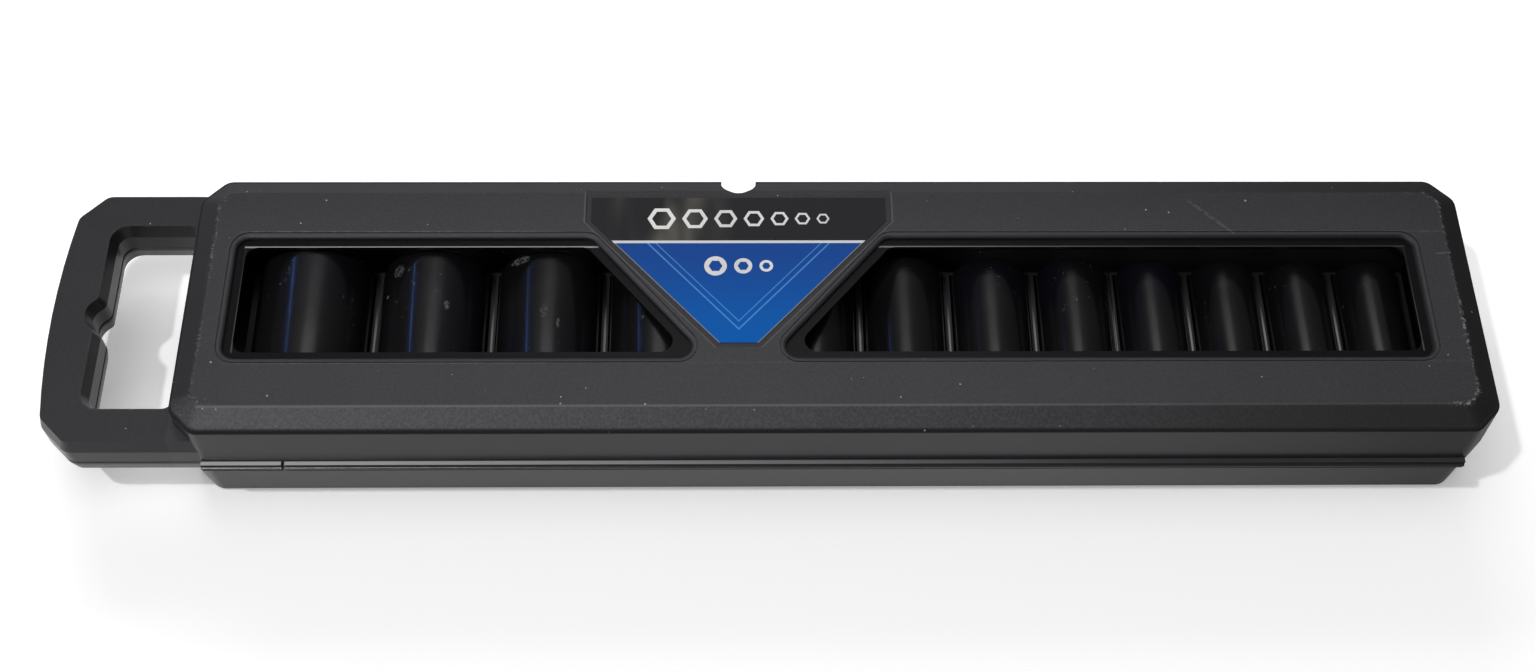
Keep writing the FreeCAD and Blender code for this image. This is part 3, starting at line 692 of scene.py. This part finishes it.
# a thin painted highlight on each ridge top, midway between its two sockets, fading before the far end
def ridgeHighlights(tree, place):
    look = rackLook
    x, y, z = axes(tree, place)
    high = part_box("rack_left")[1]
    ends = sorted((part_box(name)[0].x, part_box(name)[1].x) for name in nodes if name.startswith("socket_"))
    lines = []
    for left, right in zip(ends, ends[1:]):
        away = apart(tree, x, (left[1] + right[0]) / 2)
        lines.append(fade(tree, away, *look["ridgeWidth"]))
    return times(
        tree,
        largest(tree, *lines),
        fade(tree, minus(tree, high.z, z), *look["ridgeDepth"]),
        fade(tree, minus(tree, high.y, y), *look["ridgeBack"]),
        look["ridgeShare"],
    )


def makeRackPlastic():
    look = rackLook
    material, tree, shader, given = startMaterial("rackPlastic")
    place = given["Object"]
    grain = useGroup(tree, mouldGrain, Vector=place, Cells=look["grainCells"])
    colour = mixColour(tree, grain["Tone"], look["dark"], look["light"])
    colour = mixColour(tree, ridgeHighlights(tree, place), colour, look["ridge"])
    roughness = scaled(tree, grain["Height"], *look["roughness"])
    setSurface(tree, shader, look, addDust(tree, place, look, colour), roughness)
    addBump(tree, shader, grain["Height"], *look["bump"])
    return material


hingeLook = {
    "dark": (0.01, 0.01, 0.011, 1),
    "light": (0.018, 0.018, 0.019, 1),
    "drawn": (0.04, 1.0, 1.0),
    "grainCells": 1800.0,
    "roughness": (0.12, 0.2),
    "gloss": 0.5,
    "bump": (0.05, 0.00005),
}


# the grain is drawn out along the hinge
def makeHingePlastic():
    look = hingeLook
    material, tree, shader, given = startMaterial("hingePlastic")
    drawn = calcVector(tree, "MULTIPLY", given["Object"], look["drawn"])
    grain = useGroup(tree, mouldGrain, Vector=drawn, Cells=look["grainCells"])
    colour = mixColour(tree, grain["Tone"], look["dark"], look["light"])
    setSurface(tree, shader, look, colour, scaled(tree, grain["Height"], *look["roughness"]))
    addBump(tree, shader, grain["Height"], *look["bump"])
    return material


# a scuff lies at a share of its socket's width, a distance from the far end, and has a half size
socketLook = {
    "dark": (0.003, 0.003, 0.0034, 1),
    "light": (0.0065, 0.0065, 0.0072, 1),
    "blued": (0.003, 0.0035, 0.0095, 1),
    "bare": (0.12, 0.12, 0.116, 1),
    "scuff": (0.22, 0.22, 0.215, 1),
    "dusty": (0.4, 0.4, 0.4, 1),
    "toneCells": 55.0,
    "tintCells": 22.0,
    "tint": (0.5, 0.7, 0.0, 0.35),
    "nearEnd": (0.03, 0.012),
    "bareCells": 240.0,
    "bareSpots": (0.62, 0.72),
    "rubCells": 38.0,
    "rub": (0.52, 0.62),
    "bareShares": (0.7, 0.15),
    "dust": {"Cells": 190.0, "Share": 0.1, "Size": 0.03},
    "dustShare": 0.6,
    "chips": {"Cells": 150.0, "Share": 0.16, "Size": 0.04},
    "chipsAlong": (-0.06, -0.02, 0.45, 0.15),
    "tornCells": 850.0,
    "torn": (0.4, 0.66),
    "scuffEdge": (1.0, 0.3),
    "scuffs": [
        {"on": "socket_30mm", "across": 0.2, "back": 0.008, "size": (0.0026, 0.0034), "share": 0.5},
        {"on": "socket_30mm", "across": 0.1, "back": 0.0175, "size": (0.0008, 0.0009), "share": 1.0},
        {"on": "socket_30mm", "across": 0.68, "back": 0.025, "size": (0.0013, 0.0024), "share": 0.55},
        {"on": "socket_29mm", "across": 0.24, "back": 0.0035, "size": (0.0045, 0.002), "share": 0.7},
        {"on": "socket_29mm", "across": 0.5, "back": 0.028, "size": (0.002, 0.004), "share": 0.16},
        {"on": "socket_29mm", "across": 0.64, "back": 0.033, "size": (0.0008, 0.0026), "share": 0.4},
        {"on": "socket_27mm", "across": 0.35, "back": 0.03, "size": (0.0007, 0.0014), "share": 0.6},
    ],
    "roughness": (0.12, 0.13),
    "bareRoughness": 0.2,
    "gloss": 0.26,
    "coat": 0.12,
    "coatRoughness": 0.04,
    "ringCells": 5200.0,
    "bump": (0.12, 0.00003),
}


def latheRings(tree, along):
    rings = tree.nodes.new("ShaderNodeTexNoise")
    rings.noise_dimensions = "1D"
    feed(tree, rings.inputs["W"], along)
    rings.inputs["Scale"].default_value = socketLook["ringCells"]
    rings.inputs["Detail"].default_value = 2.0
    return rings.outputs["Fac"]


def scuffPatch(tree, x, y, up, torn, scuff):
    low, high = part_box(scuff["on"])
    middleAcross = low.x + (high.x - low.x) * scuff["across"]
    across = calc(tree, "DIVIDE", minus(tree, x, middleAcross), scuff["size"][0])
    along = calc(tree, "DIVIDE", minus(tree, y, high.y - scuff["back"]), scuff["size"][1])
    away = plus(tree, times(tree, across, across), times(tree, along, along))
    patch = fade(tree, away, *socketLook["scuffEdge"], 0.0, scuff["share"])
    return times(tree, patch, torn, above(tree, up, 0.0))


# bare steel where the oxide is rubbed off, most near the far end
def bareSteel(tree, place, near):
    look = socketLook
    spots = noise(tree, place, look["bareCells"], detail=4.0, roughness=0.7)
    rub = noise(tree, place, look["rubCells"], detail=1.0)
    return times(
        tree,
        fade(tree, spots, *look["bareSpots"]),
        fade(tree, rub, *look["rub"]),
        scaled(tree, near, *look["bareShares"]),
    )


# black oxide over turned steel: fine rings from the lathe, scuffs where sockets touch each other
def makeSocketSteel():
    look = socketLook
    material, tree, shader, given = startMaterial("socketSteel")
    place = given["Object"]
    x, y = axes(tree, place)[:2]
    up = axes(tree, given["Normal"])[2]
    near = fade(tree, minus(tree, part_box("socket_32mm")[1].y, y), *look["nearEnd"])
    tone = noise(tree, place, look["toneCells"], detail=3.0, roughness=0.6)
    tint = fade(tree, noise(tree, place, look["tintCells"], detail=1.0), *look["tint"])
    bare = bareSteel(tree, place, near)
    colour = mixColour(tree, tone, look["dark"], look["light"])
    colour = mixColour(tree, tint, colour, look["blued"])
    colour = mixColour(tree, bare, colour, look["bare"])
    torn = fade(tree, noise(tree, place, look["tornCells"], detail=3.0, roughness=0.75), *look["torn"])
    for scuff in look["scuffs"]:
        colour = mixColour(tree, scuffPatch(tree, x, y, up, torn, scuff), colour, look["scuff"])
    dust = useGroup(tree, dustSpecks, Vector=place, **look["dust"])["Mask"]
    chips = useGroup(tree, dustSpecks, Vector=place, **look["chips"])["Mask"]
    chips = times(tree, chips, near, fade(tree, minus(tree, x, middleX), *look["chipsAlong"]))
    specks = largest(tree, times(tree, dust, look["dustShare"]), chips)
    colour = mixColour(tree, specks, colour, look["dusty"])
    roughness = plus(tree, scaled(tree, tone, *look["roughness"]), times(tree, bare, look["bareRoughness"]))
    setSurface(tree, shader, look, colour, roughness)
    shader.inputs["Coat Weight"].default_value = look["coat"]
    shader.inputs["Coat Roughness"].default_value = look["coatRoughness"]
    addBump(tree, shader, latheRings(tree, y), *look["bump"])
    return material


def setFinish(name, finish):
    materials = nodes[name].data.materials
    materials.clear()
    materials.append(finish)


casePlastic = makeCasePlastic()
linerPlastic = makeLinerPlastic()
rackPlastic = makeRackPlastic()
hingePlastic = makeHingePlastic()
socketSteel = makeSocketSteel()
finishes = {
    "case_": casePlastic,
    "grip_peg": casePlastic,
    "end_peg": casePlastic,
    "lid_liner": linerPlastic,
    "hinge_web_": hingePlastic,
    "rack_": rackPlastic,
    "socket_": socketSteel,
}
for name in nodes:
    for start, finish in finishes.items():
        if name.startswith(start):
            setFinish(name, finish)
print("case, racks and sockets finished")


labelLook = {
    "lineY": 0.0249,  # where the dark band meets the blue, from the middle of the case
    "lineWidth": 0.0012,
    "line": (0.62, 0.62, 0.63, 1),
    "band": (0.022, 0.0215, 0.024, 1),
    "bandGleam": (0.13, 0.125, 0.11, 1),
    "gleamCells": (60.0, 14.0, 1.0),
    "gleam": (0.42, 0.75),
    "gleamX": 0.03,  # from the left corner
    "gleamWidth": (0.028, 0.0),
    "blueTop": (0.011, 0.06, 0.27, 1),
    "blueTip": (0.003, 0.098, 0.40, 1),
    "veeInk": (0.10, 0.32, 0.72, 1),
    "veeShare": 0.6,
    "veeSlope": 0.915,
    "veeLines": ((0.006, 0.0009), (0.0095, 0.0006)),  # height above the sides of the V, and width
    "cutEdge": (0.2, 0.21, 0.23, 1),
    "cutRise": -0.0077,
    "grainCells": 900.0,
    "dusty": (0.6, 0.6, 0.6, 1),
    "dust": {"Cells": 210.0, "Share": 0.06, "Size": 0.03},
    "dustShare": 1.0,
    "roughness": (0.12, 0.4),
    "gloss": 0.03,
    "bump": (0.08, 0.00005),
}


def labelBand(tree, place, x, left):
    look = labelLook
    patches = noise(tree, calcVector(tree, "MULTIPLY", place, look["gleamCells"]), 1.0)
    across = fade(tree, apart(tree, x, left + look["gleamX"]), *look["gleamWidth"])
    gleam = times(tree, fade(tree, patches, *look["gleam"]), across)
    return mixColour(tree, gleam, look["band"], look["bandGleam"])


def labelVee(tree, x, y, tip, lineY):
    look = labelLook
    blue = mixColour(tree, fade(tree, y, lineY, tip), look["blueTop"], look["blueTip"])
    aside = apart(tree, x, labelMiddle)
    rise = minus(tree, minus(tree, y, tip), calc(tree, "DIVIDE", aside, look["veeSlope"]))
    for start, width in look["veeLines"]:
        stripe = below(tree, apart(tree, rise, start), width / 2)
        blue = mixColour(tree, times(tree, stripe, look["veeShare"]), blue, look["veeInk"])
    return mixColour(tree, below(tree, rise, look["cutRise"]), blue, look["cutEdge"])


# a dark band, a pale line and a blue V, printed on a thin film
def makeLabelFilm():
    look = labelLook
    material, tree, shader, given = startMaterial("labelFilm")
    place = given["Object"]
    x, y = axes(tree, place)[:2]
    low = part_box("label")[0]
    lineY = middleY + look["lineY"]
    blue = labelVee(tree, x, y, low.y, lineY)
    colour = mixColour(tree, above(tree, y, lineY), blue, labelBand(tree, place, x, low.x))
    line = below(tree, apart(tree, y, lineY), look["lineWidth"] / 2)
    colour = mixColour(tree, line, colour, look["line"])
    grain = useGroup(tree, mouldGrain, Vector=place, Cells=look["grainCells"])
    roughness = scaled(tree, grain["Tone"], *look["roughness"])
    setSurface(tree, shader, look, addDust(tree, place, look, colour), roughness)
    addBump(tree, shader, grain["Height"], *look["bump"])
    return material


setFinish("label", makeLabelFilm())
print("label finished")


# rings in a row, each smaller than the one before by the same step, with even gaps
def makeRingRow():
    tree = bpy.data.node_groups.new("ringRow", "GeometryNodeTree")
    sizes = [
        ("Count", "NodeSocketInt"),
        ("Outer Sides", "NodeSocketInt"),
        ("Inner Sides", "NodeSocketInt"),
        ("Radius", "NodeSocketFloat"),
        ("Inner Radius", "NodeSocketFloat"),
        ("Shrink", "NodeSocketFloat"),
        ("Gap", "NodeSocketFloat"),
        ("Thickness", "NodeSocketFloat"),
        ("Material", "NodeSocketMaterial"),
    ]
    for label, kind in sizes:
        tree.interface.new_socket(label, in_out="INPUT", socket_type=kind)
    tree.interface.new_socket("Geometry", in_out="OUTPUT", socket_type="NodeSocketGeometry")
    given = tree.nodes.new("NodeGroupInput").outputs

    def add(kind, **values):
        node = tree.nodes.new("GeometryNode" + kind)
        for label, value in values.items():
            feed(tree, node.inputs[label.replace("_", " ")], value)
        return node

    def join(*parts):
        node = tree.nodes.new("GeometryNodeJoinGeometry")
        for part in parts:
            tree.links.new(part, node.inputs[0])
        return node.outputs[0]

    def combine(*values):
        node = tree.nodes.new("ShaderNodeCombineXYZ")
        for socket, value in zip(node.inputs, values):
            feed(tree, socket, value)
        return node.outputs[0]

    outer = add("CurvePrimitiveCircle", Resolution=given["Outer Sides"], Radius=given["Radius"])
    inner = add("CurvePrimitiveCircle", Resolution=given["Inner Sides"], Radius=given["Inner Radius"])
    face = add("FillCurve", Curve=join(outer.outputs["Curve"], inner.outputs["Curve"])).outputs[0]
    raised = add("ExtrudeMesh", Mesh=face, Offset_Scale=given["Thickness"], Individual=False).outputs["Mesh"]
    under = add("FlipFaces", Mesh=face).outputs[0]
    ring = add("MergeByDistance", Geometry=join(raised, under), Distance=1e-7).outputs[0]
    index = tree.nodes.new("GeometryNodeInputIndex").outputs[0]
    less = times(tree, index, given["Shrink"])
    spread = times(tree, minus(tree, 2.0, less), given["Radius"])
    along = times(tree, index, plus(tree, spread, given["Gap"]))
    size = minus(tree, 1.0, less)
    points = add("MeshLine", Count=given["Count"], Offset=(0.0, 0.0, 0.0)).outputs[0]
    points = add("SetPosition", Geometry=points, Position=combine(along, 0.0, 0.0)).outputs[0]
    row = add("InstanceOnPoints", Points=points, Instance=ring, Scale=combine(size, size, 1.0)).outputs[0]
    solid = add("RealizeInstances", Geometry=row).outputs[0]
    inked = add("SetMaterial", Geometry=solid, Material=given["Material"]).outputs[0]
    tree.links.new(inked, tree.nodes.new("NodeGroupOutput").inputs[0])
    return tree


printLook = {
    "ink": (0.72, 0.72, 0.71, 1),
    "faded": (0.56, 0.57, 0.58, 1),
    "wear": (0.35, 0.7),
    "grainCells": 1500.0,
    "roughness": (0.15, 0.42),
    "gloss": 0.08,
    "thickness": 0.00004,
    "sink": 0.00001,
    "hexRow": {
        "Count": 7,
        "Outer Sides": 6,
        "Inner Sides": 6,
        "Radius": 0.0056,
        "Inner Radius": 0.0038,
        "Shrink": 0.09,
        "Gap": 0.0024,
    },
    "hexRowY": 0.0357,
    "socketRow": {
        "Count": 3,
        "Outer Sides": 40,
        "Inner Sides": 6,
        "Radius": 0.0044,
        "Inner Radius": 0.0027,
        "Shrink": 0.2,
        "Gap": 0.0028,
    },
    "socketRowY": 0.0138,
}


def makePrintInk():
    look = printLook
    material, tree, shader, given = startMaterial("printInk")
    grain = useGroup(tree, mouldGrain, Vector=given["Object"], Cells=look["grainCells"])
    colour = mixColour(tree, fade(tree, grain["Tone"], *look["wear"]), look["ink"], look["faded"])
    setSurface(tree, shader, look, colour, scaled(tree, grain["Height"], *look["roughness"]))
    return material


def makePrint(name, row, y, tree, ink):
    source = bpy.data.objects.new(name, bpy.data.meshes.new(name))
    scene.collection.objects.link(source)
    modifier = source.modifiers.new("ringRow", "NODES")
    modifier.node_group = tree
    values = dict(row, Thickness=printLook["thickness"], Material=ink)
    for item in tree.interface.items_tree:
        if item.in_out == "INPUT":
            modifier[item.identifier] = values[item.name]
    seen = source.evaluated_get(bpy.context.evaluated_depsgraph_get())
    mesh = bpy.data.meshes.new_from_object(seen)
    source.modifiers.clear()
    spread = [vertex.co.x for vertex in mesh.vertices]
    middle = (min(spread) + max(spread)) / 2
    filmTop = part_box("label")[1].z
    place = (labelMiddle - middle, middleY + y, filmTop - printLook["sink"])
    mesh.transform(Matrix.Translation(place))
    mesh.name = name
    source.data = mesh
    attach(source, "lid")


ringRow = makeRingRow()
printInk = makePrintInk()
makePrint("label_print_hexagons", printLook["hexRow"], printLook["hexRowY"], ringRow, printInk)
makePrint("label_print_sockets", printLook["socketRow"], printLook["socketRowY"], ringRow, printInk)
print("label print made")


# angles in degrees, lens and sensor in millimetres
view = {
    "place": (-0.01067, -0.38424, 0.69094),
    "yaw": 1.831,
    "elevation": 60.0,
    "roll": 1.487,
    "lens": 45.41,
    "sensor": 36.0,
    "nearest": 0.01,
}


def makeCamera():
    yaw, tilt, roll = (math.radians(view[key]) for key in ("yaw", "elevation", "roll"))
    ahead = Vector((math.sin(yaw) * math.cos(tilt), math.cos(yaw) * math.cos(tilt), -math.sin(tilt)))
    right = Vector((math.cos(yaw), -math.sin(yaw), 0))
    up = right.cross(ahead)
    rolledRight = right * math.cos(roll) + up * math.sin(roll)
    rolledUp = up * math.cos(roll) - right * math.sin(roll)
    data = bpy.data.cameras.new("photoCamera")
    data.lens = view["lens"]
    data.sensor_width = view["sensor"]
    data.sensor_fit = "HORIZONTAL"
    data.clip_start = view["nearest"]
    camera = bpy.data.objects.new("photoCamera", data)
    scene.collection.objects.link(camera)
    turn = Matrix((rolledRight, rolledUp, -ahead)).transposed().to_4x4()
    camera.matrix_world = Matrix.Translation(view["place"]) @ turn
    scene.camera = camera


makeCamera()


floorLook = {
    "radius": 14.0,
    "segments": 96,
    "level": -0.00005,
    "seen": (0.95, 0.95, 0.95, 1),
    "lit": (0.86, 0.86, 0.86, 1),
    # painted shade: the floor's colour for bounced light towards the right
    "right": (0.3, 0.3, 0.3, 1),
    "toRight": (0.05, 0.42),
    "roughness": 0.9,
    "gloss": 0.1,
    "lift": 0.26,
    # painted reflection: the floor glows where it is seen in reflections
    "glossLift": 0.35,
}


# pale studio floor; the lift brings the lit floor up to white and leaves the shadow. For bounced light the
# floor darkens towards the right, a painted shade for the case's right end, and in reflections it glows, a
# painted reflection that fades towards the right
def makeFloorFinish():
    look = floorLook
    material, tree, shader, given = startMaterial("studioFloor")
    ray = tree.nodes.new("ShaderNodeLightPath").outputs
    toRight = fade(tree, axes(tree, given["Object"])[0], *look["toRight"])
    bounce = mixColour(tree, toRight, look["lit"], look["right"])
    colour = mixColour(tree, ray["Is Camera Ray"], bounce, look["seen"])
    setSurface(tree, shader, look, colour, look["roughness"])
    shader.inputs["Emission Color"].default_value = (1, 1, 1, 1)
    mirrored = times(tree, ray["Is Glossy Ray"], fade(tree, toRight, 0.0, 1.0, look["glossLift"], 0.0))
    seen = times(tree, ray["Is Camera Ray"], look["lift"])
    feed(tree, shader.inputs["Emission Strength"], plus(tree, seen, mirrored))
    return material


def makeFloor():
    mesh = bpy.data.meshes.new("floor")
    shape = bmesh.new()
    bmesh.ops.create_circle(shape, cap_ends=True, segments=floorLook["segments"], radius=floorLook["radius"])
    bmesh.ops.translate(shape, verts=shape.verts, vec=(0, 0, floorLook["level"]))
    shape.to_mesh(mesh)
    shape.free()
    floor = bpy.data.objects.new("floor", mesh)
    scene.collection.objects.link(floor)
    mesh.materials.append(makeFloorFinish())


makeFloor()


# a lamp is white, looks at the origin and shines all ways unless it says otherwise
plainLamp = {"colour": (1, 1, 1), "aim": (0, 0, 0), "spread": 180.0}
lamps = {
    "key": {"place": (-2.44, -0.7, 5.0), "size": (0.22, 0.22), "power": 100.0, "lights": "all"},
    "fillBox": {"place": (-0.1, 0.0, 2.5), "size": (2.0, 2.0), "power": 13.0, "lights": "diffuse"},
    "backBox": {"place": (-0.3, 1.5, 0.95), "size": (1.4, 0.6), "power": 16.0, "lights": "diffuse"},
    "overheadBox": {"place": (0.0, 0.32, 1.25), "size": (0.5, 0.5), "power": 5.4, "lights": "gloss"},
    "frontBox": {"place": (-0.54, -0.6, 0.89), "size": (0.5, 0.35), "power": 13.0, "lights": "gloss"},
    "coolStrip": {
        "place": (-0.95, 0.72, 1.0),
        "size": (0.012, 0.5),
        "power": 0.009,
        "lights": "gloss",
        "colour": (0.16, 0.32, 1.0),
        "aim": (-0.15, -0.02, 0.04),
        "spread": 25.0,
    },
}


def makeLamp(name, lamp):
    data = bpy.data.lights.new(name, "AREA")
    data.shape = "RECTANGLE"
    data.size, data.size_y = lamp["size"]
    data.energy = lamp["power"]
    data.color = lamp["colour"]
    data.spread = math.radians(lamp["spread"])
    place = Vector(lamp["place"])
    ahead = Vector(lamp["aim"]) - place
    light = bpy.data.objects.new(name, data)
    light.matrix_world = Matrix.Translation(place) @ ahead.to_track_quat("-Z", "Y").to_matrix().to_4x4()
    light.visible_camera = False
    light.visible_diffuse = lamp["lights"] != "gloss"
    light.visible_glossy = lamp["lights"] != "diffuse"
    scene.collection.objects.link(light)


for name, lamp in lamps.items():
    makeLamp(name, {**plainLamp, **lamp})


# brightness by the height of a direction, and its share towards the right and the left
skyLook = {
    "height": (0.0, 0.7, 0.12, 0.48),
    "right": (-0.2, 0.7, 1.0, 0.3),
    "left": (-0.15, -0.6, 1.0, 0.2),
}


def makeSky():
    world = bpy.data.worlds.new("studio")
    world.use_nodes = True
    tree = world.node_tree
    background = tree.nodes["Background"]
    background.inputs["Color"].default_value = (1, 1, 1, 1)
    direction = axes(tree, tree.nodes.new("ShaderNodeTexCoord").outputs["Generated"])
    strength = times(
        tree,
        fade(tree, direction[2], *skyLook["height"]),
        fade(tree, direction[0], *skyLook["right"]),
        fade(tree, direction[0], *skyLook["left"]),
    )
    feed(tree, background.inputs["Strength"], strength)
    scene.world = world


makeSky()
print("camera, floor and light in place")
